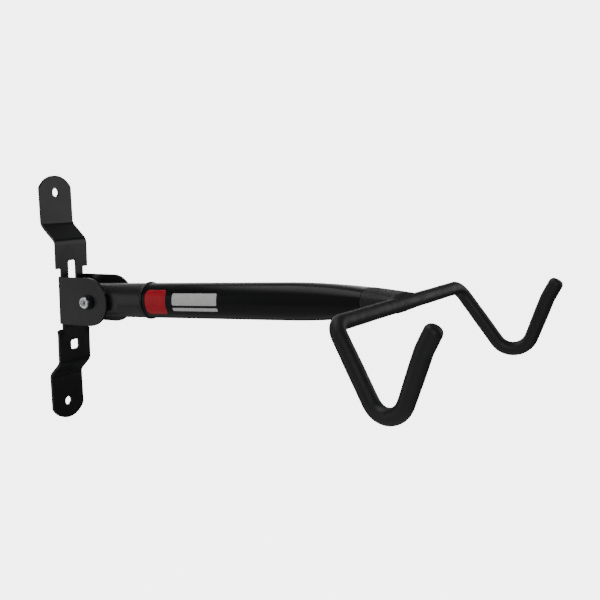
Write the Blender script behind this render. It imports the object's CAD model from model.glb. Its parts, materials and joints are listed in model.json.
"""Folding wall rack for a bicycle: a stamped wall bracket, a tube arm on one pivot bolt, and a
rubber-dipped hook rod. Metres, X out from the wall, Y along the wall, Z up."""
import json
import math

import bmesh
import bpy
import numpy as np
from mathutils import Matrix, Vector
from mathutils.geometry import delaunay_2d_cdt


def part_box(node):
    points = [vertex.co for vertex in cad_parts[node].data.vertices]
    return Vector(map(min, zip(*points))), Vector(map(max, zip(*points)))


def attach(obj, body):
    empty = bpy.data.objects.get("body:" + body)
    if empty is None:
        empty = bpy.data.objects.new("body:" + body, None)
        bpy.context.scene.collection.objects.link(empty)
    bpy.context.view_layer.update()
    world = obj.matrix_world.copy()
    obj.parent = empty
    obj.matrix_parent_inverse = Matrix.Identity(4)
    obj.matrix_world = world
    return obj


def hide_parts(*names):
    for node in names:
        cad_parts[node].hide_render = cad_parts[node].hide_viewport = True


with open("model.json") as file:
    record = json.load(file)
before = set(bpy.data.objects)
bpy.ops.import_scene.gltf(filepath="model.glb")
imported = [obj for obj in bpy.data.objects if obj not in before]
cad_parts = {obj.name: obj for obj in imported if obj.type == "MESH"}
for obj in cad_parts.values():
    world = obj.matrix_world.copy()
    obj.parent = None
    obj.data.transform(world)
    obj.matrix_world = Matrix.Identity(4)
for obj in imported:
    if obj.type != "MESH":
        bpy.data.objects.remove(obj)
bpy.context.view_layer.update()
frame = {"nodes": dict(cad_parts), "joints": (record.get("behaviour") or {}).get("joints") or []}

bl_info = {
    "name": "Folding Bicycle Rack",
    "version": (1, 0, 0),
    "blender": (4, 5, 0),
    "location": "3D View > Sidebar > Rack",
    "description": "Builds a folding wall rack with a rubber-dipped pair of hooks",
    "category": "Add Mesh",
}

MM = 0.001
WALL_BODY = "wall_mount"
ARM_BODY = "arm"

# ---- sizes from the frame
PIVOT = np.array(frame["joints"][0]["pos_m"])
BRACKET_LOW, BRACKET_HIGH = (np.array(corner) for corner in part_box("wall_bracket"))
BOLT_LOW, BOLT_HIGH = (np.array(corner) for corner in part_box("pivot_bolt"))
HEAD_WASHER = [np.array(corner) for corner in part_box("head_washer")]
NUT_WASHER = [np.array(corner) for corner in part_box("nut_washer")]
NUT = [np.array(corner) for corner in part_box("lock_nut")]
LOCK_RING = [np.array(corner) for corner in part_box("nut_locking_ring")]
GAP = 0.3 * MM
EAR_FACE = NUT_WASHER[0][1] - GAP
LEG_HALF = BRACKET_HIGH[1]

# ---- bracket, in metres
STRIP = 3 * MM
UPPER_STEP = (86 * MM, 67 * MM)
LOWER_STEP = (-74 * MM, -88.5 * MM)
STANDOFF = (21.8 * MM, 17.2 * MM)
STEP_BEND = 9 * MM
END_ARC = 28 * MM
END_CORNER = 6 * MM
SCREW_HOLE_RADIUS = 5 * MM
SCREW_HOLE_HEIGHTS = (122.4 * MM, -123.1 * MM)
NOTCH_TOP = 36 * MM
NOTCH_BOTTOM = -34.6 * MM
NOTCH_DEPTH = 7.4 * MM
SLOT_HALF_WIDTH = 6.3 * MM
SLOT_CORNER = 2.5 * MM
SLOTS = ((20 * MM, 44.5 * MM), (-59.4 * MM, -48.1 * MM))
EAR_RADIUS = 27 * MM
EAR_BEND = 5 * MM
PIVOT_HOLE_RADIUS = 4.2 * MM
EAR_LEAN = math.atan2(STANDOFF[0] - STANDOFF[1], UPPER_STEP[1] - LOWER_STEP[0])
FOLD_RADIUS = EAR_BEND - STRIP / 2
FOLD_START = EAR_FACE - STRIP / 2 - FOLD_RADIUS
FOLD_LENGTH = FOLD_RADIUS * math.pi / 2

# ---- arm, along its own axis
ARM_TILT = math.radians(2.05)
TUBE_RADIUS = 19 * MM
TUBE_WALL = 2 * MM
FLAT_HALF = 17.3 * MM
FLAT_REACH = 41 * MM
HEEL_REACH = 45 * MM
HEEL_RADIUS = 42 * MM
HEEL_HEIGHT = -11 * MM
STUB_END = 73 * MM
SPIGOT_LENGTH = 26 * MM
COLLAR_WIDTH = 4 * MM
COLLAR_RADIUS = 20.5 * MM
SQUASH_START = 250 * MM
SQUASH_END = 371 * MM
SQUASH_DROP = 9.8 * MM
DIP_LINE = 339.5 * MM
TUBE_END = 369.5 * MM
COVERED = 1.3 * MM
RAMP_RISE = 1.8 * MM
RAMP_LENGTH = 2 * MM
NOSE_START = SQUASH_END - 1.2 * MM
NOSE_LENGTH = 9 * MM
NOSE_DROP = 3.4 * MM

# ---- hooks, along the arm's axis
HOOK_X = 375.2 * MM
HOOK_DROP = -0.7 * MM
HOOK_HALF_SPAN = 133.2 * MM
HOOK_BOTTOM = np.array([54.5, 19.4, -88.5]) * MM
HOOK_TIP = np.array([91.8, 25.3, -0.1]) * MM
TIP_FLARE = 2.2 * MM
TIP_FLARE_LENGTH = 15 * MM
CROSSBAR_BEND = 14 * MM
HOOK_BEND = 20 * MM
TIP_BEND = 25 * MM
CROSSBAR_COAT_END = 117.7 * MM
JOINT_HALF_WIDTH = 26 * MM
TIP_CAP_HEIGHT = 5.6 * MM
JOINT_PAST_ROD = 0.8 * MM
JOINT_END_ROUND = 2.4 * MM
FILLET_FADE = (19 * MM, 25 * MM)
WELD_HALF = 13.5 * MM
WELD_RADIUS = 2 * MM
WELD_RIPPLE = 1.6 * MM
WELD_AHEAD = 2.4 * MM
WELD_OFFSET = 6.7 * MM


def srgb(code):
    """Linear colour of a six-digit display code."""
    parts = [int(code[i:i + 2], 16) / 255 for i in (0, 2, 4)]
    return tuple(c / 12.92 if c <= 0.04045 else ((c + 0.055) / 1.055) ** 2.4 for c in parts)


# ---- settings
class RackSizes(bpy.types.PropertyGroup):
    """Sizes that change how the rack is finished, without changing its frame."""

    edge_round: bpy.props.FloatProperty(
        name="Sheet Edge Rounding", description="Radius worn and painted onto the bracket's cut edges",
        default=0.7 * MM, min=0.05 * MM, max=1.2 * MM, unit="LENGTH")
    crossbar_coat: bpy.props.FloatProperty(
        name="Crossbar Coat Radius", description="Outside radius of the rubber on the crossbar",
        default=6.75 * MM, min=5.5 * MM, max=8 * MM, unit="LENGTH")
    hook_coat: bpy.props.FloatProperty(
        name="Hook Coat Radius", description="Outside radius of the rubber on the hooks' outer legs",
        default=7.45 * MM, min=5.5 * MM, max=9 * MM, unit="LENGTH")
    coat_ripple: bpy.props.FloatProperty(
        name="Coat Ripple", description="Height of the slow unevenness that dipping leaves in the coat",
        default=0.07 * MM, min=0, max=0.5 * MM, unit="LENGTH")
    joint_fillet: bpy.props.FloatProperty(
        name="Joint Fillet", description="How widely the coat fills the corner between arm and crossbar",
        default=3.5 * MM, min=0.5 * MM, max=10 * MM, unit="LENGTH")


class RackFinishes(bpy.types.PropertyGroup):
    """Colours of the rack's finishes."""

    bracket_colour: bpy.props.FloatVectorProperty(
        name="Bracket Paint", description="Satin black of the bracket", subtype="COLOR", size=3,
        default=srgb("1f1f20"), min=0, max=1)
    arm_colour: bpy.props.FloatVectorProperty(
        name="Arm Gloss", description="Gloss black of the main tube", subtype="COLOR", size=3,
        default=srgb("1a1a1b"), min=0, max=1)
    coat_colour: bpy.props.FloatVectorProperty(
        name="Rubber Coat", description="Charcoal black of the dipped rubber", subtype="COLOR", size=3,
        default=srgb("2b2b2c"), min=0, max=1)
    mark_colour: bpy.props.FloatVectorProperty(
        name="Red Mark", description="Red of the printed patch", subtype="COLOR", size=3,
        default=srgb("d60b28"), min=0, max=1)
    bar_colour: bpy.props.FloatVectorProperty(
        name="White Bars", description="White of the two printed bars", subtype="COLOR", size=3,
        default=srgb("f6f6f4"), min=0, max=1)


def sizes():
    return bpy.context.scene.rack_sizes


def finishes():
    return bpy.context.scene.rack_finishes


# ---- surfaces
def arm_to_row(points):
    """Points drawn along the arm's own axis, tilted up about the pivot: a plane rotation of X and Z."""
    along, side, up = points[..., 0], points[..., 1], points[..., 2]
    cos, sin = math.cos(ARM_TILT), math.sin(ARM_TILT)
    turned = np.stack([along * cos - up * sin, side, along * sin + up * cos], axis=-1)
    return turned + PIVOT


def grid(points, wrap_rows=False, wrap_columns=True):
    """A grid of points as (vertices, quads). Quads join each point to its next row and next column."""
    rows, columns = points.shape[:2]
    row = np.arange(rows if wrap_rows else rows - 1)[:, None]
    column = np.arange(columns if wrap_columns else columns - 1)[None, :]
    next_row = (row + 1) % rows
    next_column = (column + 1) % columns
    corners = [row * columns + column, next_row * columns + column,
               next_row * columns + next_column, row * columns + next_column]
    quads = np.stack(np.broadcast_arrays(*corners), axis=-1).reshape(-1, 4)
    return points.reshape(-1, 3), quads


def piece(name, surfaces, body, finished, replaces=()):
    """A new piece from one or more (vertices, faces) surfaces: seams and poles are merged, faces are
    turned outwards, and the piece is given its body, slot, material and CAD nodes."""
    mesh = bpy.data.meshes.new(name)
    vertices = np.concatenate([surface[0] for surface in surfaces])
    faces = []
    start = 0
    for points, corners in surfaces:
        faces += (np.asarray(corners) + start).tolist()
        start += len(points)
    mesh.from_pydata(vertices.tolist(), [], faces)
    work = bmesh.new()
    work.from_mesh(mesh)
    bmesh.ops.remove_doubles(work, verts=work.verts, dist=0.0005 * MM)
    bmesh.ops.dissolve_degenerate(work, edges=work.edges, dist=0.0002 * MM)
    bmesh.ops.recalc_face_normals(work, faces=work.faces)
    work.to_mesh(mesh)
    work.free()
    mesh.polygons.foreach_set("use_smooth", np.ones(len(mesh.polygons), bool))
    made = bpy.data.objects.new(name, mesh)
    bpy.context.scene.collection.objects.link(made)
    mesh.materials.append(finished)
    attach(made, body)
    if replaces:
        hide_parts(*replaces)
    return made


def around(count):
    """Angles of a full turn, without its last repeat."""
    return np.linspace(0, 2 * math.pi, count, endpoint=False)


def turned(profile, count, centre=(0, 0, 0), axis="x"):
    """Surface of revolution: (along, radius) pairs of the profile carried round the axis."""
    profile = np.asarray(profile, float)
    angle = around(count)[None, :]
    along = profile[:, 0:1] + 0 * angle
    one = profile[:, 1:2] * np.cos(angle)
    two = profile[:, 1:2] * np.sin(angle)
    order = {"x": (along, one, two), "y": (two, along, one)}[axis]
    return np.stack(order, axis=-1) + np.asarray(centre)


def arc(centre, radius, start, end, steps):
    """Points of an arc in a plane, angles in radians."""
    angle = np.linspace(start, end, steps)
    return np.stack([centre[0] + radius * np.cos(angle), centre[1] + radius * np.sin(angle)], axis=-1)


def line(start, end, steps):
    """Evenly spaced points of a straight line, both ends kept."""
    share = np.linspace(0, 1, steps)[:, None]
    return np.asarray(start) * (1 - share) + np.asarray(end) * share


def rounded_path(points, radii, spacing):
    """A line of points with its corners rounded: each corner is an arc tangent to its two sides,
    and straight stretches are divided at about the given spacing."""
    pieces_of_path = []
    last = points[0]
    for corner, before, after, radius in zip(points[1:-1], points[:-2], points[2:], radii):
        back = (before - corner) / np.linalg.norm(before - corner)
        ahead = (after - corner) / np.linalg.norm(after - corner)
        half = math.acos(np.clip(back @ ahead, -1, 1)) / 2
        middle = (back + ahead) / np.linalg.norm(back + ahead)
        centre = corner + middle * radius / math.sin(half)
        first = corner + back * radius / math.tan(half)
        final = corner + ahead * radius / math.tan(half)
        sweep = math.pi - 2 * half
        steps = max(int(sweep * radius / spacing), 10)
        angle = np.linspace(0, sweep, steps)[:, None]
        spoke = (first - centre) * np.sin(sweep - angle) + (final - centre) * np.sin(angle)
        spoke = spoke / math.sin(sweep)
        straight = max(int(np.linalg.norm(first - last) / spacing), 2)
        pieces_of_path.append(line(last, first, straight)[:-1])
        pieces_of_path.append((centre + spoke)[:-1])
        last = final
    straight = max(int(np.linalg.norm(points[-1] - last) / spacing), 2)
    pieces_of_path.append(line(last, points[-1], straight))
    return np.concatenate(pieces_of_path)


def tangents(path):
    """Unit directions along a path, from the neighbours on both sides."""
    step = np.gradient(path, axis=0)
    return step / np.linalg.norm(step, axis=1)[:, None]


def run_length(path):
    """Distance along a path at each of its points."""
    return np.concatenate([[0], np.cumsum(np.linalg.norm(np.diff(path, axis=0), axis=1))])


def carried(path, radius, count, reference=(1.0, 0.0, 0.0)):
    """A round section carried along a path: path + radius * (normal cos a + binormal sin a), where the
    normal is the reference direction with its part along the path taken out."""
    along = tangents(path)
    reference = np.asarray(reference)
    normal = reference - (along @ reference)[:, None] * along
    normal /= np.linalg.norm(normal, axis=1)[:, None]
    binormal = np.cross(along, normal)
    angle = around(count)
    ring = normal[:, None] * np.cos(angle)[None, :, None] + binormal[:, None] * np.sin(angle)[None, :, None]
    return path[:, None] + ring * np.asarray(radius)[..., None]


def ripple(run, angle, height):
    """Slow unevenness of a dipped coat: three waves along and round it that don't repeat together."""
    run = run[:, None] / MM
    return height * (0.5 * np.sin(run * 0.19 + 2 * angle) + 0.3 * np.sin(run * 0.43 - 3 * angle + 1.3)
                     + 0.4 * np.sin(run * 0.071 + angle + 4.1))


# ---- wall bracket
def strip_line():
    """Middle of the strip in side view: five straight stretches joined by four bends."""
    middle = STRIP / 2
    corners = np.array([
        [middle, BRACKET_HIGH[2]], [middle, UPPER_STEP[0]], [STANDOFF[0], UPPER_STEP[1]],
        [STANDOFF[1], LOWER_STEP[0]], [middle, LOWER_STEP[1]], [middle, BRACKET_LOW[2]]])
    flat = np.concatenate([corners, np.zeros((len(corners), 1))], axis=1)
    return rounded_path(flat, [STEP_BEND] * 4, 0.5 * MM)[:, :2]


def strip_reach(height):
    """Distance of the strip's middle from the wall at a height."""
    middle = strip_line()
    return np.interp(height, middle[::-1, 1], middle[::-1, 0])


def bent_strip(across, height):
    """Middle surface of the bracket from its front view. The strip stands at x = line(height). Between
    the notches and past the fold, |across| turns a quarter circle and then runs straight out as the ear:
    y and the ear's reach follow sin and 1 - cos of the fold angle. The ear leans with the strip."""
    on_ear = (height > NOTCH_BOTTOM) & (height < NOTCH_TOP)
    past = np.where(on_ear, np.maximum(np.abs(across) - FOLD_START, 0), 0)
    turn = np.minimum(past / FOLD_RADIUS, math.pi / 2)
    side = np.abs(across) - past + FOLD_RADIUS * np.sin(turn)
    out = FOLD_RADIUS * (1 - np.cos(turn)) + np.maximum(past - FOLD_LENGTH, 0)
    return np.stack([strip_reach(height) + out * math.cos(EAR_LEAN), np.sign(across) * side,
                     height - out * math.sin(EAR_LEAN)], axis=-1)


def unbent(place_x, place_z):
    """Where a point of a bent ear falls on the flat blank (across, height). The lean shifts the height by
    an amount that depends on the height itself, so the shift is repeated until it settles."""
    height = place_z
    for _ in range(12):
        out = (place_x - strip_reach(height)) / math.cos(EAR_LEAN)
        height = place_z + out * math.sin(EAR_LEAN)
    return FOLD_START + FOLD_LENGTH + (out - FOLD_RADIUS), height


def ear_outline():
    """Outline of one ear on the flat blank: two level edges joined by an arc about the pivot."""
    end = arc((PIVOT[0], PIVOT[2]), EAR_RADIUS, -math.pi / 2, math.pi / 2, 33)
    lower = line((STANDOFF[0], -EAR_RADIUS), end[0], 8)[1:-1]
    upper = line(end[-1], (STANDOFF[0], EAR_RADIUS), 8)[1:-1]
    points = np.concatenate([lower, end, upper])
    return np.stack(unbent(points[:, 0], points[:, 1]), axis=-1)


def bracket_blank():
    """Outline of the flat blank and its holes, in the front view (across, height)."""
    half = LEG_HALF
    waist = half - NOTCH_DEPTH
    corner = half - END_CORNER
    rise = math.sqrt((END_ARC - END_CORNER) ** 2 - corner ** 2)
    meet = math.atan2(rise, corner)
    top = BRACKET_HIGH[2] - END_ARC
    bottom = BRACKET_LOW[2] + END_ARC
    upright = 2 * MM
    ear = ear_outline()
    steps = int((top + rise - NOTCH_TOP) / upright)
    right = np.concatenate([
        arc((0, bottom), END_ARC, -math.pi / 2, -meet, 15),
        arc((corner, bottom - rise), END_CORNER, -meet, 0, 8)[1:],
        line((half, bottom - rise), (half, NOTCH_BOTTOM), steps)[1:],
        line((half, NOTCH_BOTTOM), (waist, NOTCH_BOTTOM), 5)[1:],
        line((waist, NOTCH_BOTTOM), (waist, -EAR_RADIUS), 5)[1:],
        line((waist, -EAR_RADIUS), ear[0], 8)[1:-1],
        ear,
        line(ear[-1], (waist, EAR_RADIUS), 8)[1:],
        line((waist, EAR_RADIUS), (waist, NOTCH_TOP), 6)[1:],
        line((waist, NOTCH_TOP), (half, NOTCH_TOP), 5)[1:],
        line((half, NOTCH_TOP), (half, top + rise), steps)[1:],
        arc((corner, top + rise), END_CORNER, 0, meet, 8)[1:],
        arc((0, top), END_ARC, meet, math.pi / 2, 15)[1:]])
    left = right[-2:0:-1] * [-1, 1]
    loops = [np.concatenate([right, left])]
    for low, high in SLOTS:
        inner, low, high = SLOT_HALF_WIDTH - SLOT_CORNER, low + SLOT_CORNER, high - SLOT_CORNER
        corners = [(inner, high), (-inner, high), (-inner, low), (inner, low)]
        quarters = [arc(corner, SLOT_CORNER, turn * math.pi / 2, (turn + 1) * math.pi / 2, 7)
                    for turn, corner in enumerate(corners)]
        loops.append(np.concatenate(quarters))
    for height in SCREW_HOLE_HEIGHTS:
        loops.append(arc((0, height), SCREW_HOLE_RADIUS, 0, 2 * math.pi, 49)[:-1])
    across, height = unbent(PIVOT[0], PIVOT[2])
    for side in (-1, 1):
        loops.append(arc((side * across, height), PIVOT_HOLE_RADIUS, 0, 2 * math.pi, 33)[:-1])
    return loops


def blank_grid():
    """Points inside the blank: rows close together at the four bends, columns close together at the
    ear folds, and wide apart where the sheet is flat."""
    rows = [np.arange(BRACKET_LOW[2] + 3 * MM, BRACKET_HIGH[2] - 2 * MM, 5 * MM)]
    for centre in (*UPPER_STEP, *LOWER_STEP):
        rows.append(centre + np.arange(-5 * MM, 5 * MM, 0.55 * MM))
    rows = np.unique(np.round(np.concatenate(rows), 6))
    rows = rows[np.concatenate([[True], np.diff(rows) > 0.3 * MM])]
    strip_columns = np.linspace(-LEG_HALF + 3 * MM, LEG_HALF - 3 * MM, 9)
    wide, tall = np.meshgrid(strip_columns, rows, indexing="ij")
    points = [np.stack([wide, tall], axis=-1).reshape(-1, 2)]
    ear_columns = np.concatenate([
        FOLD_START + np.linspace(0, FOLD_LENGTH, 11),
        np.arange(FOLD_START + FOLD_LENGTH + 4 * MM, 110 * MM, 5 * MM)])
    ear_rows = np.arange(-EAR_RADIUS - 1 * MM, EAR_RADIUS + 6 * MM, 3 * MM)
    for side in (-1, 1):
        wide, tall = np.meshgrid(side * ear_columns, ear_rows, indexing="ij")
        points.append(np.stack([wide, tall], axis=-1).reshape(-1, 2))
    return np.concatenate(points)


def crossings(points, loop):
    """For each point, whether a ray from it crosses the loop an odd number of times."""
    x, y = points[:, 0:1], points[:, 1:2]
    start, end = loop, np.roll(loop, -1, axis=0)
    spans = (start[None, :, 1] > y) != (end[None, :, 1] > y)
    rise = end[:, 1] - start[:, 1]
    rise = np.where(np.abs(rise) < 1e-12, 1e-12, rise)
    meets = start[:, 0] + (y - start[None, :, 1]) * (end[:, 0] - start[:, 0]) / rise
    return (spans & (x < meets)).sum(axis=1) % 2 == 1


def clearance(points, loop):
    """Distance from each point to the nearest side of the loop."""
    start, end = loop, np.roll(loop, -1, axis=0)
    side = end - start
    length = (side ** 2).sum(axis=1)
    share = ((points[:, None] - start[None]) * side[None]).sum(axis=2) / length
    nearest = start[None] + np.clip(share, 0, 1)[..., None] * side[None]
    return np.linalg.norm(points[:, None] - nearest, axis=2).min(axis=1)


def bracket_surface():
    """The blank filled with triangles between its outline, its holes and the inner points, and then
    bent: every vertex goes through bent_strip."""
    loops = bracket_blank()
    inner = blank_grid()
    keep = crossings(inner, loops[0])
    for hole in loops[1:]:
        keep &= ~crossings(inner, hole)
    for loop in loops:
        keep &= clearance(inner, loop) > 0.8 * MM
    inner = inner[keep]
    corners = np.concatenate([*loops, inner])
    edges = []
    start = 0
    for loop in loops:
        index = np.arange(len(loop)) + start
        edges += np.stack([index, np.roll(index, -1)], axis=1).tolist()
        start += len(loop)
    filled = delaunay_2d_cdt([Vector(point) for point in (corners / MM).tolist()], edges, [], 0, 1e-5)
    flat = np.array([tuple(point) for point in filled[0]]) * MM
    triangles = np.array([face for face in filled[2] if len(face) == 3])
    centre = flat[triangles].mean(axis=1)
    keep = crossings(centre, loops[0])
    for hole in loops[1:]:
        keep &= ~crossings(centre, hole)
    return bent_strip(flat[:, 0], flat[:, 1]), triangles[keep]


class RACK_OT_bracket(bpy.types.Operator):
    """Builds the stamped wall bracket"""

    bl_idname = "rack.bracket"
    bl_label = "Wall Bracket"

    def execute(self, context):
        made = piece("bracket", [bracket_surface()], WALL_BODY,
                     material("satin_black_paint"),
                     ["wall_bracket"])
        wall = made.modifiers.new("Sheet", "SOLIDIFY")
        wall.thickness = STRIP
        wall.offset = 0
        wall.use_even_offset = True
        edge = made.modifiers.new("Edge", "BEVEL")
        edge.width = sizes().edge_round
        edge.segments = 3
        edge.limit_method = "ANGLE"
        edge.angle_limit = math.radians(50)
        made.modifiers.new("Flatness", "WEIGHTED_NORMAL").keep_sharp = True
        return {"FINISHED"}


# ---- pivot fasteners
FASTENER_SIDES = 96
SHANK_RADIUS = 4 * MM
SOCKET_FLATS = 6 * MM
SOCKET_DEPTH = 3 * MM
HEAD_ROUND = 0.9 * MM
THREAD_PITCH = 1.25 * MM
THREAD_DEPTH = 0.6 * MM
BORE_RADIUS = 4.3 * MM


def hexagon_radius(angle, flats):
    """Distance from the centre to a hexagon's side, at each angle."""
    return flats / 2 / np.cos((angle + math.pi / 6) % (math.pi / 3) - math.pi / 6)


def stacked_rows(rows, wrap_rows=False):
    """Surface about the pivot's axis from rows of (distance along Y, radius). A radius is one number for
    the whole row, or one for each angle."""
    angle = around(FASTENER_SIDES)
    along = np.array([row[0] for row in rows])[:, None]
    radius = np.stack([np.broadcast_to(row[1], angle.shape) for row in rows])
    place = np.stack([radius * np.cos(angle), along + 0 * angle, radius * np.sin(angle)], axis=-1)
    return grid(place + PIVOT * [1, 0, 1], wrap_rows=wrap_rows)


def bolt_surface():
    """Round head with a hexagon socket, plain shank and a threaded tail. The radius is round on the
    head and shank, follows the hexagon in the socket, and on the thread falls by a triangle wave of
    (distance / pitch - angle / turn)."""
    angle = around(FASTENER_SIDES)
    top, seat, tail = BOLT_LOW[1], HEAD_WASHER[0][1] - GAP, BOLT_HIGH[1]
    head, shank = BOLT_HIGH[0] - PIVOT[0], SHANK_RADIUS
    socket = hexagon_radius(angle, SOCKET_FLATS)
    floor = top + SOCKET_DEPTH
    rows = [(floor, 0), (floor, socket * 0.5), (floor, socket - 0.15 * MM), (floor - 0.15 * MM, socket),
            (top + 0.35 * MM, socket), (top + 0.1 * MM, socket + 0.2 * MM), (top, socket + 0.5 * MM)]
    rows += [(top + HEAD_ROUND - rise, head - HEAD_ROUND + inset)
             for inset, rise in arc((0, 0), HEAD_ROUND, 0, math.pi / 2, 7)[::-1]]
    rows += [(seat - 0.25 * MM, head), (seat, head - 0.25 * MM), (seat, shank + 0.3 * MM),
             (seat + 0.3 * MM, shank)]
    start = NUT_WASHER[1][1]
    for along in np.arange(start, tail - 0.4 * MM, THREAD_PITCH / 10):
        wave = np.abs(((along / THREAD_PITCH - angle / (2 * math.pi)) % 1) * 2 - 1)
        fade = min((along - start) / THREAD_PITCH, (tail - along) / (1.1 * MM), 1)
        chamfer = 0.5 * MM * (1 - fade) if along > start + THREAD_PITCH else 0
        rows.append((along, shank - THREAD_DEPTH * wave * fade - chamfer))
    rows += [(tail - 0.05 * MM, 2.6 * MM), (tail, 2.3 * MM), (tail, 0)]
    return stacked_rows(rows)


def washer_surface(box, bore=BORE_RADIUS, edge=0.25 * MM):
    """Flat ring with rounded edges: a closed profile carried round the pivot's axis."""
    low, high = box
    outer = (high[0] - low[0]) / 2
    profile = [(low[1] + edge, bore), (low[1], bore + edge), (low[1], outer - edge),
               (low[1] + edge * 0.3, outer - edge * 0.3), (low[1] + edge, outer), (high[1] - edge, outer),
               (high[1] - edge * 0.3, outer - edge * 0.3), (high[1], outer - edge), (high[1], bore + edge),
               (high[1] - edge, bore)]
    return grid(turned(profile, 72, PIVOT * [1, 0, 1], "y"), wrap_rows=True)


def nut_surface():
    """Hexagon nut: at each height the radius is the smaller of the hexagon and a 30 degree cone from
    each end, with a round bore."""
    low, high = NUT[0][1], NUT[1][1]
    flats = NUT[1][2] - NUT[0][2]
    hexagon = hexagon_radius(around(FASTENER_SIDES), flats)
    heights = np.concatenate([np.linspace(0, 1.1 * MM, 7), np.linspace(1.5 * MM, (high - low) / 2, 4)])
    rows = [(low + 0.4 * MM, BORE_RADIUS), (low, BORE_RADIUS + 0.4 * MM)]
    for height in np.concatenate([low + heights, high - heights[::-1][1:]]):
        cone = flats / 2 - 0.15 * MM + min(height - low, high - height) * math.tan(math.radians(60))
        rows.append((height, np.minimum(hexagon, cone)))
    rows += [(high, BORE_RADIUS + 0.4 * MM), (high - 0.4 * MM, BORE_RADIUS)]
    return stacked_rows(rows, wrap_rows=True)


class RACK_OT_fasteners(bpy.types.Operator):
    """Builds the pivot bolt, its washers, the nut and its locking ring"""

    bl_idname = "rack.fasteners"
    bl_label = "Pivot Fasteners"

    def execute(self, context):
        zinc, dark, white = material("zinc_plate"), material("black_oxide_steel"), material("nylon")
        for name, surface, slot, finished, node in (
                ("bolt", bolt_surface(), "zinc_steel", zinc, "pivot_bolt"),
                ("washer_under_head", washer_surface(HEAD_WASHER), "black_steel", dark, "head_washer"),
                ("washer_under_nut", washer_surface(NUT_WASHER), "black_steel", dark, "nut_washer"),
                ("nut", nut_surface(), "zinc_steel", zinc, "lock_nut"),
                ("locking_ring", washer_surface(LOCK_RING, edge=0.7 * MM), "nylon", white,
                 "nut_locking_ring")):
            piece(name, [surface], WALL_BODY, finished, [node])
        for word in ("near", "far"):
            node = f"slip_washer_{word}"
            box = [np.array(corner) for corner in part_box(node)]
            piece(f"slip_disc_{word}", [washer_surface(box)], WALL_BODY, white, [node])
        return {"FINISHED"}


# ---- arm tube
def smooth(value):
    """Smooth step from 0 to 1 as the value goes from 0 to 1: 3 v^2 - 2 v^3."""
    value = np.clip(value, 0, 1)
    return value * value * (3 - 2 * value)


def stub_surface():
    """Pivot stub: a tube whose two sides are pressed flat within a circle about the pivot, over a short
    ramp; its rear end is cut round above the heel and square below. Half width at a point is the
    smaller of the tube's and the flat's plus the ramp's rise."""
    angle = around(160)[None, :]
    share = np.concatenate([np.linspace(0, 0.62, 90), np.linspace(0.624, 0.8, 70)[1:],
                            np.linspace(0.81, 1, 14)])[:, None]
    height = TUBE_RADIUS * np.sin(angle)
    cut = -np.sqrt(HEEL_RADIUS ** 2 - height ** 2)
    square = smooth((HEEL_HEIGHT - height) / (1.2 * MM) + 0.5)
    rear = cut * (1 - square) - HEEL_REACH * square
    along = rear + share * (STUB_END - rear)
    radius = TUBE_RADIUS - 0.25 * MM * smooth(1 - (along - rear) / (0.6 * MM))
    side = radius * np.cos(angle)
    up = radius * np.sin(angle) + 0 * along
    reach = np.hypot(along, up)
    ramp = RAMP_RISE * smooth((reach - FLAT_REACH) / RAMP_LENGTH + 1)
    side = np.sign(side) * np.minimum(np.abs(side), FLAT_HALF + ramp)
    skin = np.stack([along, side, up], axis=-1)
    spigot = TUBE_RADIUS - TUBE_WALL - GAP
    neck = turned([(STUB_END, spigot), (STUB_END + SPIGOT_LENGTH - MM, spigot),
                   (STUB_END + SPIGOT_LENGTH, spigot - 0.5 * MM)], angle.size)
    return grid(arm_to_row(np.concatenate([skin, neck])))


def collar_surface():
    """Raised ring at the joint of stub and main tube: a half-round profile carried round the arm."""
    inner = TUBE_RADIUS + 0.02 * MM
    half = COLLAR_WIDTH / 2
    rise = COLLAR_RADIUS - inner
    angle = np.linspace(0, math.pi, 17)
    profile = np.stack([STUB_END - half * np.cos(angle), inner + rise * np.sin(angle) ** 0.6], axis=-1)
    profile = np.concatenate([profile, [[STUB_END + half, inner - 0.02 * MM],
                                        [STUB_END - half, inner - 0.02 * MM]]])
    return grid(arm_to_row(turned(profile, 128)), wrap_rows=True)


def half_height(along):
    """Half height of the tube: its radius, then a fall that grows with the square of the distance
    from where the squash starts, and a short blunt nose over the rod."""
    run = np.clip((np.minimum(along, NOSE_START) - SQUASH_START) / (SQUASH_END - SQUASH_START), 0, 1)
    blunt = np.maximum(along - NOSE_START, 0) / NOSE_LENGTH
    return TUBE_RADIUS - SQUASH_DROP * run ** 2 - NOSE_DROP * blunt ** 2


def half_width(along):
    """Half width that keeps the tube's girth while its height falls."""
    height = half_height(np.minimum(along, SQUASH_END))
    return (math.pi / 2) * TUBE_RADIUS - (math.pi / 2 - 1) * height


def section_power(along):
    """Exponent that makes the squashed section longer-sided than an ellipse."""
    return TUBE_RADIUS / (TUBE_RADIUS + 0.8 * (TUBE_RADIUS - half_height(along)))


def squashed_rings(along, offset, count):
    """Rings of the squashed tube: cos and sin of the angle raised to the section's power, times half
    width and half height."""
    angle = around(count)[None, :]
    along = along[:, None]
    power = section_power(along)
    wide = np.sign(np.cos(angle)) * np.abs(np.cos(angle)) ** power
    tall = np.sign(np.sin(angle)) * np.abs(np.sin(angle)) ** power
    side = wide * (half_width(along) + offset[:, None])
    up = tall * (half_height(along) + offset[:, None])
    return np.stack([along + 0 * angle, side, up], axis=-1)


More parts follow.
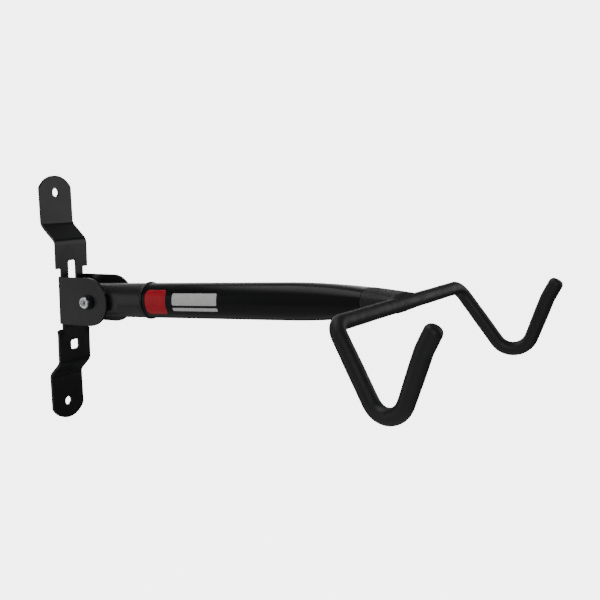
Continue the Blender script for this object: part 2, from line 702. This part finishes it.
def main_tube_surface():
    """Main tube: its outside out to the squashed end, then its inside back, as one closed wall."""
    start = STUB_END + GAP
    edge = 0.4 * MM
    outside = np.concatenate([
        [start, start + edge], np.linspace(start + 2 * MM, SQUASH_START, 40),
        np.linspace(SQUASH_START, DIP_LINE, 60)[1:], DIP_LINE + np.array([0.6, 1.2, 2, 4]) * MM,
        np.linspace(DIP_LINE + 5.5 * MM, TUBE_END, 14)])
    covered = -COVERED * smooth((outside - DIP_LINE - 0.4 * MM) / (1.2 * MM))
    covered[0] -= edge
    outer = squashed_rings(outside, covered, 128)
    inside = outside[::-1]
    inner = squashed_rings(inside, covered[::-1] - TUBE_WALL + edge * (inside < start + edge / 2), 128)
    return grid(arm_to_row(np.concatenate([outer, inner])), wrap_rows=True)


class RACK_OT_arm(bpy.types.Operator):
    """Builds the pivot stub, the collar ring and the main tube"""

    bl_idname = "rack.arm"
    bl_label = "Arm"

    def execute(self, context):
        paint = material("stub_black_paint")
        stub = piece("stub", [stub_surface()], ARM_BODY, paint, ["pivot_stub"])
        wall = stub.modifiers.new("Wall", "SOLIDIFY")
        wall.thickness = TUBE_WALL
        wall.offset = -1
        piece("collar", [collar_surface()], ARM_BODY, paint, ["collar_ring"])
        piece("tube", [main_tube_surface()], ARM_BODY, material("gloss_black_paint"),
              ["main_tube"])
        return {"FINISHED"}


# ---- rubber coat
def hook_path(side):
    """Centre line of one end of the rod, from the crossbar through the V to the tip."""
    start = np.array([HOOK_X, side * HOOK_HALF_SPAN, HOOK_DROP])
    mirror = np.array([1, side, 1])
    bottom = start + HOOK_BOTTOM * mirror
    tip = start + HOOK_TIP * mirror
    rise = (tip - bottom) / np.linalg.norm(tip - bottom)
    knee = tip - rise * TIP_FLARE_LENGTH
    tip = tip + np.array([TIP_FLARE, 0, 0])
    first = np.array([HOOK_X, side * JOINT_HALF_WIDTH, HOOK_DROP])
    return rounded_path(np.array([first, start, bottom, knee, tip]),
                        [CROSSBAR_BEND, HOOK_BEND, TIP_BEND], 1.6 * MM)


def coat_radius(run):
    """Coat radius by distance: thin on the crossbar, fuller down the first leg, thinner round the
    bottom of the V, and fullest on the outer leg, which drained last."""
    thin, full = sizes().crossbar_coat, sizes().hook_coat
    middle = (thin + full) / 2
    stops = np.array([0, 80, 105, 135, 190, 215, 245, 400]) * MM
    values = [thin, thin, thin + 0.1 * MM, middle, middle, middle - 0.05 * MM, full, full]
    return np.interp(run, stops, values)


def hook_rings(side, count=48):
    """Rings of the coat from the joint to the tip, and the distance of each along the path."""
    path = hook_path(side)
    run = run_length(path)
    angle = around(count)[None, :]
    settle = smooth(run / (12 * MM))[:, None] * smooth((run[-1] - run) / (6 * MM))[:, None]
    radius = coat_radius(run)[:, None] + ripple(run, angle, sizes().coat_ripple) * settle
    return carried(path, radius, count), path, run


def cap_rings(side, count=48):
    """Domed tip: rings that shrink as the cosine of an angle while they rise as its sine."""
    rings, path, _ = hook_rings(side, count)
    last = rings[-1]
    centre = path[-1]
    direction = tangents(path)[-1]
    angle = np.linspace(0, math.pi / 2, 15)[:, None, None]
    spread = (last - centre)[None] * np.cos(angle) ** 0.62
    return centre + spread + direction * TIP_CAP_HEIGHT * np.sin(angle)


def joint_field(point_x, point_y, point_z):
    """Signed measure of the coated joint, below zero inside: the squashed tube's section, ended just
    past the rod by a smooth maximum, and the crossbar's round section, joined to it by a polynomial
    smooth minimum that fills the corner and fades out toward the joint's sides. The coat starts with a
    rounded lip at the dip line."""
    lip = smooth((point_x - DIP_LINE) / (1.3 * MM))
    offset = (-0.35 + 0.6 * lip) * MM - 0.15 * MM * smooth((point_x - DIP_LINE) / (25 * MM))
    height = half_height(point_x) + offset
    width = half_width(point_x) + offset
    power = 2 / section_power(point_x)
    ratio = (np.abs(point_y / width) ** power + np.abs(point_z / height) ** power) ** (1 / power)
    tube = (ratio - 1) * height
    beyond = point_x - HOOK_X - JOINT_PAST_ROD
    tube = (tube + beyond + np.hypot(tube - beyond, JOINT_END_ROUND)) / 2
    bar = np.hypot(point_x - HOOK_X, point_z - HOOK_DROP) - sizes().crossbar_coat
    fade = smooth((np.abs(point_y) - FILLET_FADE[0]) / (FILLET_FADE[1] - FILLET_FADE[0]))
    blend = sizes().joint_fillet * (1 - fade) + 0.01 * MM
    share = np.clip(0.5 + 0.5 * (bar - tube) / blend, 0, 1)
    return bar * (1 - share) + tube * share - blend * share * (1 - share)


def outward_root(start, direction, longest):
    """Distance from inside points, along their directions, to where joint_field turns positive, by
    bisection of whole arrays."""
    low = np.zeros(start.shape[:-1])
    high = low + longest
    for _ in range(34):
        middle = (low + high) / 2
        place = start + direction * middle[..., None]
        inside = joint_field(place[..., 0], place[..., 1], place[..., 2]) < 0
        low = np.where(inside, middle, low)
        high = np.where(inside, high, middle)
    return low


def joint_surface():
    """Coat over the arm's end and the crossbar. One parameter runs along the crossbar; the other goes
    over the top from the dip line to the bar, round the bar's front, and back underneath. Heights are
    roots of joint_field along upright lines behind the bar's centre and along its radii in front."""
    side = np.concatenate([np.linspace(0, 16, 34), np.linspace(16.3, 25.4, 78), [25.7, 26]]) * MM
    side = np.concatenate([-side[:0:-1], side])
    centre = np.stack([HOOK_X + 0 * side, side, HOOK_DROP + 0 * side], axis=-1)
    back = np.broadcast_to([-1.0, 0.0, 0.0], centre.shape)
    rear = outward_root(centre, back, HOOK_X - DIP_LINE)
    share = np.linspace(0, 1, 74)
    spread = np.cos(share * math.pi / 2)
    along = HOOK_X - rear[:, None] * spread[None, :]
    lanes = np.stack([along, side[:, None] + 0 * along, HOOK_DROP + 0 * along], axis=-1)
    up = np.broadcast_to([0.0, 0.0, 1.0], lanes.shape)
    top = lanes + up * outward_root(lanes, up, 25 * MM)[..., None]
    bottom = lanes - up * outward_root(lanes, -up, 25 * MM)[..., None]
    angle = np.linspace(math.pi / 2, -math.pi / 2, 32)[1:-1]
    spoke = np.stack([np.cos(angle), 0 * angle, np.sin(angle)], axis=-1)
    front = np.broadcast_to(centre[:, None], (len(side), len(angle), 3))
    spokes = np.broadcast_to(spoke[None], front.shape)
    front = front + spokes * outward_root(front, spokes, 25 * MM)[..., None]
    return grid(arm_to_row(np.concatenate([top, front, bottom[:, ::-1]], axis=1)))


def weld_surface(side):
    """Weld bead between tube and rod: round in section, with even ripples, and drawn in at its ends by
    the eighth-power curve so that it stays under the coat."""
    along = np.linspace(-WELD_HALF, WELD_HALF, 121)
    ends = np.sqrt(np.maximum(1 - (along / WELD_HALF) ** 8, 0))
    radius = WELD_RADIUS * ends * (1 - 0.04 * (1 + np.sin(2 * math.pi * along / WELD_RIPPLE)))
    centre = (TUBE_END + WELD_AHEAD, 0, HOOK_DROP + side * WELD_OFFSET)
    return grid(arm_to_row(turned(np.stack([along, radius], axis=-1), 24, centre, "y")))


class RACK_OT_welds(bpy.types.Operator):
    """Builds the two weld beads between the tube's end and the rod"""

    bl_idname = "rack.welds"
    bl_label = "Weld Beads"

    def execute(self, context):
        for side, word in ((1, "upper"), (-1, "lower")):
            piece(f"weld_{word}", [weld_surface(side)], ARM_BODY, material("bare_steel"),
                  [f"{word}_weld_bead"])
        return {"FINISHED"}


class RACK_OT_coat(bpy.types.Operator):
    """Builds the rubber coat: joint, crossbar, hooks and tips"""

    bl_idname = "rack.coat"
    bl_label = "Rubber Coat"

    def execute(self, context):
        rubber = material("dipped_rubber")
        piece("coat_on_joint", [joint_surface()], ARM_BODY, rubber, ["joint_coat"])
        for side, word in ((-1, "near"), (1, "far")):
            rings, _, run = hook_rings(side)
            split = int(np.searchsorted(run, CROSSBAR_COAT_END - JOINT_HALF_WIDTH))
            piece(f"coat_on_crossbar_{word}", [grid(arm_to_row(rings[:split + 1]))], ARM_BODY,
                  rubber, [f"crossbar_coat_{word}"])
            piece(f"coat_on_hook_{word}", [grid(arm_to_row(rings[split:]))], ARM_BODY,
                  rubber, [f"hook_coat_{word}"])
            piece(f"coat_tip_{word}", [grid(arm_to_row(cap_rings(side)))], ARM_BODY,
                  rubber, [f"tip_cap_{word}"])
        return {"FINISHED"}


# ---- printed marks
def mark_surface(start, end, low, high, corner):
    """Printed patch on the tube's near side. At each place along it the patch reaches from low to high,
    drawn in near its ends by the corner's circle; height becomes an angle round the tube."""
    near_end = np.linspace(0, corner, 9)
    along = np.concatenate([start + near_end, np.linspace(start + corner, end - corner, 24)[1:-1],
                            end - near_end[::-1]])
    inside = np.minimum(np.minimum(along - start, end - along), corner)
    inset = corner - np.sqrt(np.maximum(corner ** 2 - (corner - inside) ** 2, 0))
    share = np.linspace(0, 1, 25)[None, :]
    up = (low + inset)[:, None] * (1 - share) + (high - inset)[:, None] * share
    radius = TUBE_RADIUS + 0.09 * MM
    side = -np.sqrt(radius ** 2 - up ** 2)
    return grid(arm_to_row(np.stack([along[:, None] + 0 * up, side, up], axis=-1)), wrap_columns=False)


class RACK_OT_marks(bpy.types.Operator):
    """Builds the plain printed marks on the arm"""

    bl_idname = "rack.marks"
    bl_label = "Printed Marks"

    def execute(self, context):
        red, white = material("mark_ink"), material("bar_ink")
        marks = [("mark_red", (80, 108, -13, 13, 4), "red_print", red, "red_mark"),
                 ("bar_upper", (117, 175, -3, 9.5, 1.5), "white_print", white, "white_bar_upper"),
                 ("bar_lower", (117, 175, -9, -5.5, 0.8), "white_print", white, "white_bar_lower")]
        for name, place, slot, ink, node in marks:
            surface = mark_surface(*(value * MM for value in place))
            made = piece(name, [surface], ARM_BODY, ink, [node])
            film = made.modifiers.new("Film", "SOLIDIFY")
            film.thickness = 0.08 * MM
            film.offset = 0
        return {"FINISHED"}


# ---- shared shader groups
def new_group(name, inputs, outputs):
    """An empty node group with named sockets. Inputs are (name, kind, default)."""
    group = bpy.data.node_groups.new(name, "ShaderNodeTree")
    for label, kind, default in inputs:
        socket = group.interface.new_socket(label, in_out="INPUT", socket_type=f"NodeSocket{kind}")
        if default is not None:
            socket.default_value = default
    for label, kind in outputs:
        group.interface.new_socket(label, in_out="OUTPUT", socket_type=f"NodeSocket{kind}")
    return group, group.nodes.new("NodeGroupInput"), group.nodes.new("NodeGroupOutput")


def math_node(nodes, operation):
    node = nodes.new("ShaderNodeMath")
    node.operation = operation
    return node


def noise_node(nodes, detail, roughness=0.5):
    node = nodes.new("ShaderNodeTexNoise")
    node.inputs["Detail"].default_value = detail
    node.inputs["Roughness"].default_value = roughness
    return node


def surface_grain():
    """Grain of a sprayed or dipped finish: fine noise plus broad noise, as a height about zero and as a
    tint between 0 and 1."""
    group, given, result = new_group(
        "surface_grain",
        [("Vector", "Vector", None), ("Fine Scale", "Float", 900.0), ("Broad Scale", "Float", 60.0),
         ("Fine Share", "Float", 0.6)],
        [("Height", "Float"), ("Tint", "Float")])
    nodes, links = group.nodes, group.links
    fine = noise_node(nodes, 3)
    broad = noise_node(nodes, 2)
    mix = nodes.new("ShaderNodeMix")
    links.new(given.outputs["Vector"], fine.inputs["Vector"])
    links.new(given.outputs["Vector"], broad.inputs["Vector"])
    links.new(given.outputs["Fine Scale"], fine.inputs["Scale"])
    links.new(given.outputs["Broad Scale"], broad.inputs["Scale"])
    links.new(given.outputs["Fine Share"], mix.inputs["Factor"])
    links.new(broad.outputs["Fac"], mix.inputs["A"])
    links.new(fine.outputs["Fac"], mix.inputs["B"])
    links.new(mix.outputs["Result"], result.inputs["Height"])
    links.new(broad.outputs["Fac"], result.inputs["Tint"])
    return group


def handling_marks():
    """Faint smudges left by handling: stretched noise cut to soft islands, as a mask from 0 to 1."""
    group, given, result = new_group(
        "handling_marks",
        [("Vector", "Vector", None), ("Scale", "Float", 24.0), ("Threshold", "Float", 0.5),
         ("Softness", "Float", 0.12)],
        [("Mask", "Float")])
    nodes, links = group.nodes, group.links
    noise = noise_node(nodes, 5, 0.62)
    noise.inputs["Distortion"].default_value = 0.6
    edge = nodes.new("ShaderNodeMapRange")
    edge.interpolation_type = "SMOOTHSTEP"
    low = math_node(nodes, "SUBTRACT")
    high = math_node(nodes, "ADD")
    links.new(given.outputs["Vector"], noise.inputs["Vector"])
    links.new(given.outputs["Scale"], noise.inputs["Scale"])
    for node in (low, high):
        links.new(given.outputs["Threshold"], node.inputs[0])
        links.new(given.outputs["Softness"], node.inputs[1])
    links.new(noise.outputs["Fac"], edge.inputs["Value"])
    links.new(low.outputs["Value"], edge.inputs["From Min"])
    links.new(high.outputs["Value"], edge.inputs["From Max"])
    links.new(edge.outputs["Result"], result.inputs["Mask"])
    return group


# ---- materials
def finish(name, colour, roughness, metallic=0.0, specular=0.5, grain=(900.0, 60.0, 0.6), tint=0.25,
           relief=0.02 * MM, smudge=0.06, smudge_scale=24.0):
    """A painted, dipped or plated finish: the colour is varied by the grain's tint, the roughness by
    handling marks, and the grain's height goes through a bump. The colour is linear, or the name of one
    of the finishes' settings. The grain is its fine scale, its broad scale and the fine one's share."""
    if isinstance(colour, str):
        colour = getattr(finishes(), colour)
    made = bpy.data.materials.new(name)
    made.use_nodes = True
    nodes, links = made.node_tree.nodes, made.node_tree.links
    shader = nodes["Principled BSDF"]
    shader.inputs["Metallic"].default_value = metallic
    shader.inputs["Specular IOR Level"].default_value = specular
    place = nodes.new("ShaderNodeTexCoord")
    texture = nodes.new("ShaderNodeGroup")
    texture.node_tree = bpy.data.node_groups.get("surface_grain") or surface_grain()
    for socket, value in zip(("Fine Scale", "Broad Scale", "Fine Share"), grain):
        texture.inputs[socket].default_value = value
    marks = nodes.new("ShaderNodeGroup")
    marks.node_tree = bpy.data.node_groups.get("handling_marks") or handling_marks()
    marks.inputs["Scale"].default_value = smudge_scale
    links.new(place.outputs["Object"], texture.inputs["Vector"])
    links.new(place.outputs["Object"], marks.inputs["Vector"])
    shade = nodes.new("ShaderNodeMix")
    shade.data_type = "RGBA"
    shade.inputs["A"].default_value = (*(c * (1 - tint) for c in colour), 1)
    shade.inputs["B"].default_value = (*(min(c * (1 + tint), 1) for c in colour), 1)
    links.new(texture.outputs["Tint"], shade.inputs["Factor"])
    links.new(shade.outputs["Result"], shader.inputs["Base Color"])
    rough = nodes.new("ShaderNodeMapRange")
    rough.inputs["To Min"].default_value = roughness - smudge / 2
    rough.inputs["To Max"].default_value = roughness + smudge / 2
    links.new(marks.outputs["Mask"], rough.inputs["Value"])
    links.new(rough.outputs["Result"], shader.inputs["Roughness"])
    bump = nodes.new("ShaderNodeBump")
    bump.inputs["Strength"].default_value = 1.0
    bump.inputs["Distance"].default_value = relief
    links.new(texture.outputs["Height"], bump.inputs["Height"])
    links.new(bump.outputs["Normal"], shader.inputs["Normal"])
    return made


PAINT = dict(colour="bracket_colour", grain=(1500.0, 240.0, 0.5), tint=0.12)
PLATED = dict(grain=(2600.0, 300.0, 0.7), relief=0.01 * MM, smudge=0.12, smudge_scale=160.0)
PRINT = dict(roughness=0.38, specular=0.45, grain=(2400.0, 180.0, 0.6), tint=0.07, relief=0.006 * MM,
             smudge=0.08, smudge_scale=90.0)
FINISHES = {
    "satin_black_paint": dict(PAINT, roughness=0.27, relief=0.006 * MM),
    "stub_black_paint": dict(PAINT, roughness=0.34, specular=0.75, relief=0.012 * MM),
    "gloss_black_paint": dict(colour="arm_colour", roughness=0.25, specular=0.22,
                              grain=(700.0, 160.0, 0.3), tint=0.1, relief=0.006 * MM, smudge=0.05),
    "dipped_rubber": dict(colour="coat_colour", roughness=0.5, specular=0.45,
                          grain=(2200.0, 130.0, 0.55), tint=0.15, relief=0.02 * MM, smudge=0.1,
                          smudge_scale=40.0),
    "zinc_plate": dict(PLATED, colour=(0.82, 0.83, 0.85), roughness=0.24, metallic=1.0, tint=0.12),
    "black_oxide_steel": dict(PLATED, colour=(0.012, 0.012, 0.013), roughness=0.42, metallic=0.3,
                              tint=0.2),
    "bare_steel": dict(colour=(0.33, 0.33, 0.34), roughness=0.4, metallic=1.0,
                       grain=(2600.0, 200.0, 0.7), tint=0.2, relief=0.015 * MM, smudge=0.15,
                       smudge_scale=90.0),
    "nylon": dict(colour=(0.62, 0.6, 0.54), roughness=0.5, grain=(1800.0, 120.0, 0.5), tint=0.08,
                  relief=0.01 * MM, smudge=0.1, smudge_scale=80.0),
    "mark_ink": dict(PRINT, colour="mark_colour"),
    "bar_ink": dict(PRINT, colour="bar_colour"),
}


def material(name):
    """The named finish, made at its first use."""
    return bpy.data.materials.get(name) or finish(name, **FINISHES[name])


class RACK_OT_hidden_steel(bpy.types.Operator):
    """Gives the steel inside the coat and the stub its bare finish"""

    bl_idname = "rack.hidden_steel"
    bl_label = "Hidden Steel"

    def execute(self, context):
        steel = material("bare_steel")
        for name in ("hook_rod", "pivot_bush"):
            for place in frame["nodes"][name].material_slots:
                place.material = steel
        return {"FINISHED"}


# ---- stage
CAMERA_PLACE = Vector((0.77544, -0.73129, 0.12026))
CAMERA_AZIMUTH = math.radians(31.406)
CAMERA_ELEVATION = math.radians(7.276)
CAMERA_ROLL = math.radians(-1.636)
CAMERA_LENS = 52.918
FLOOR_HEIGHT = -0.75
FLOOR_RADIUS = 3.2
COVE_RADIUS = 1.2
WALL_HEIGHT = 3.4
FLOOR_GLOW = 5.0
SURROUNDINGS = 0.045
MIDDLE = (0.2, 0, 0)
PANELS = (
    # name, place, target, width, height, power in watts
    ("overhead_panel", (-0.2, -0.1, 1.3), MIDDLE, 1.4, 0.8, 6),
    ("back_panel", (-1.1, 1.3, 0.8), MIDDLE, 1.9, 0.8, 3.2),
    ("step_panel", (0.0, 0.85, 0.95), MIDDLE, 0.8, 0.4, 0.12),
    ("backdrop_panel", (-1.1, 1.8, 0.2), MIDDLE, 2.4, 0.9, 6),
    ("front_panel", (1.2, 1.15, 0.37), (0, 0, 0.3), 1.3, 1.14, 4.3),
    ("side_panel", (-1.25, -0.95, 0.1), MIDDLE, 0.9, 1.4, 2.4),
    ("camera_panel", (1.5, -1.9, 1.1), MIDDLE, 1.2, 1.0, 5),
    ("corner_panel", (1.4, -1.4, 0.35), (0, 0, 0.1), 0.4, 0.6, 3.6),
    ("left_panel", (-0.65, -1.4, 0.5), MIDDLE, 1.4, 2.2, 1.6),
    ("low_panel", (0.2, -0.25, -0.73), MIDDLE, 2.0, 2.0, 4.2),
)


def studio_camera():
    """Camera at a place, turned by azimuth, elevation and roll."""
    cos_e, sin_e = math.cos(CAMERA_ELEVATION), math.sin(CAMERA_ELEVATION)
    back = Vector((math.sin(CAMERA_AZIMUTH) * cos_e, -math.cos(CAMERA_AZIMUTH) * cos_e, sin_e))
    right = Vector((math.cos(CAMERA_AZIMUTH), math.sin(CAMERA_AZIMUTH), 0))
    up = back.cross(right)
    cos_r, sin_r = math.cos(CAMERA_ROLL), math.sin(CAMERA_ROLL)
    across = cos_r * right + sin_r * up
    upright = -sin_r * right + cos_r * up
    data = bpy.data.cameras.new("camera")
    data.lens = CAMERA_LENS
    data.sensor_width = 36
    data.clip_start = 0.01
    data.clip_end = 30
    camera = bpy.data.objects.new("camera", data)
    turn = Matrix((across, upright, back)).transposed().to_4x4()
    camera.matrix_world = Matrix.Translation(CAMERA_PLACE) @ turn
    bpy.context.scene.collection.objects.link(camera)
    bpy.context.scene.camera = camera
    return camera


def soft_panel(name, place, target, width, height, power):
    """Rectangular softbox at a place, facing a target."""
    data = bpy.data.lights.new(name, "AREA")
    data.shape = "RECTANGLE"
    data.size = width
    data.size_y = height
    data.energy = power
    panel = bpy.data.objects.new(name, data)
    panel.location = place
    panel.rotation_euler = (Vector(place) - Vector(target)).to_track_quat("Z", "Y").to_euler()
    panel.visible_camera = False
    bpy.context.scene.collection.objects.link(panel)
    return panel


def pale_bowl():
    """Pale floor that curves up into a round wall: a profile of floor, quarter circle and wall carried
    round an upright axis."""
    corner = arc((FLOOR_RADIUS, FLOOR_HEIGHT + COVE_RADIUS), COVE_RADIUS, -math.pi / 2, 0, 24)
    profile = np.concatenate([[[0, FLOOR_HEIGHT]], corner,
                              [[FLOOR_RADIUS + COVE_RADIUS, FLOOR_HEIGHT + WALL_HEIGHT]]])
    angle = around(96)[None, :]
    points = np.stack([profile[:, 0:1] * np.cos(angle), profile[:, 0:1] * np.sin(angle),
                       profile[:, 1:2] + 0 * angle], axis=-1)
    vertices, faces = grid(points)
    mesh = bpy.data.meshes.new("pale_floor")
    mesh.from_pydata(vertices.tolist(), [], faces[:, ::-1].tolist())
    mesh.polygons.foreach_set("use_smooth", np.ones(len(mesh.polygons), bool))
    floor = bpy.data.objects.new("pale_floor", mesh)
    bpy.context.scene.collection.objects.link(floor)
    pale = bpy.data.materials.new("pale_floor")
    pale.use_nodes = True
    shader = pale.node_tree.nodes["Principled BSDF"]
    shader.inputs["Base Color"].default_value = (0.85, 0.85, 0.85, 1)
    shader.inputs["Roughness"].default_value = 0.9
    shader.inputs["Emission Color"].default_value = (1, 1, 1, 1)
    shader.inputs["Emission Strength"].default_value = FLOOR_GLOW
    mesh.materials.append(pale)
    floor.visible_glossy = False
    floor.visible_diffuse = False
    return floor


class RACK_OT_stage(bpy.types.Operator):
    """Builds the camera, the pale floor, the soft panels and the dim surroundings"""

    bl_idname = "rack.stage"
    bl_label = "Studio"

    def execute(self, context):
        made = [studio_camera(), pale_bowl(), *(soft_panel(*panel) for panel in PANELS)]
        world = bpy.data.worlds.new("surroundings")
        world.use_nodes = True
        world.node_tree.nodes["Background"].inputs["Color"].default_value = (0.9, 0.95, 1, 1)
        world.node_tree.nodes["Background"].inputs["Strength"].default_value = SURROUNDINGS
        context.scene.world = world
        return {"FINISHED"}


# ---- panel and registration
OPERATORS = (RACK_OT_bracket, RACK_OT_fasteners, RACK_OT_arm, RACK_OT_welds, RACK_OT_coat,
             RACK_OT_marks, RACK_OT_hidden_steel, RACK_OT_stage)


class RACK_PT_panel(bpy.types.Panel):
    """Lists the rack's sizes, finishes and pieces"""

    bl_idname = "RACK_PT_panel"
    bl_label = "Bicycle Rack"
    bl_space_type = "VIEW_3D"
    bl_region_type = "UI"
    bl_category = "Rack"

    def draw(self, context):
        column = self.layout.column()
        for settings in (context.scene.rack_sizes, context.scene.rack_finishes):
            for name in settings.__annotations__:
                column.prop(settings, name)
        for operator in OPERATORS:
            column.operator(operator.bl_idname)


CLASSES = (RackSizes, RackFinishes, *OPERATORS, RACK_PT_panel)


def register():
    for item in CLASSES:
        bpy.utils.register_class(item)
    bpy.types.Scene.rack_sizes = bpy.props.PointerProperty(type=RackSizes)
    bpy.types.Scene.rack_finishes = bpy.props.PointerProperty(type=RackFinishes)


def unregister():
    del bpy.types.Scene.rack_finishes
    del bpy.types.Scene.rack_sizes
    for item in reversed(CLASSES):
        bpy.utils.unregister_class(item)


def main():
    register()
    bpy.ops.rack.bracket()
    bpy.ops.rack.fasteners()
    bpy.ops.rack.arm()
    bpy.ops.rack.welds()
    bpy.ops.rack.coat()
    bpy.ops.rack.marks()
    bpy.ops.rack.hidden_steel()
    bpy.ops.rack.stage()


if __name__ == "__main__":
    main()
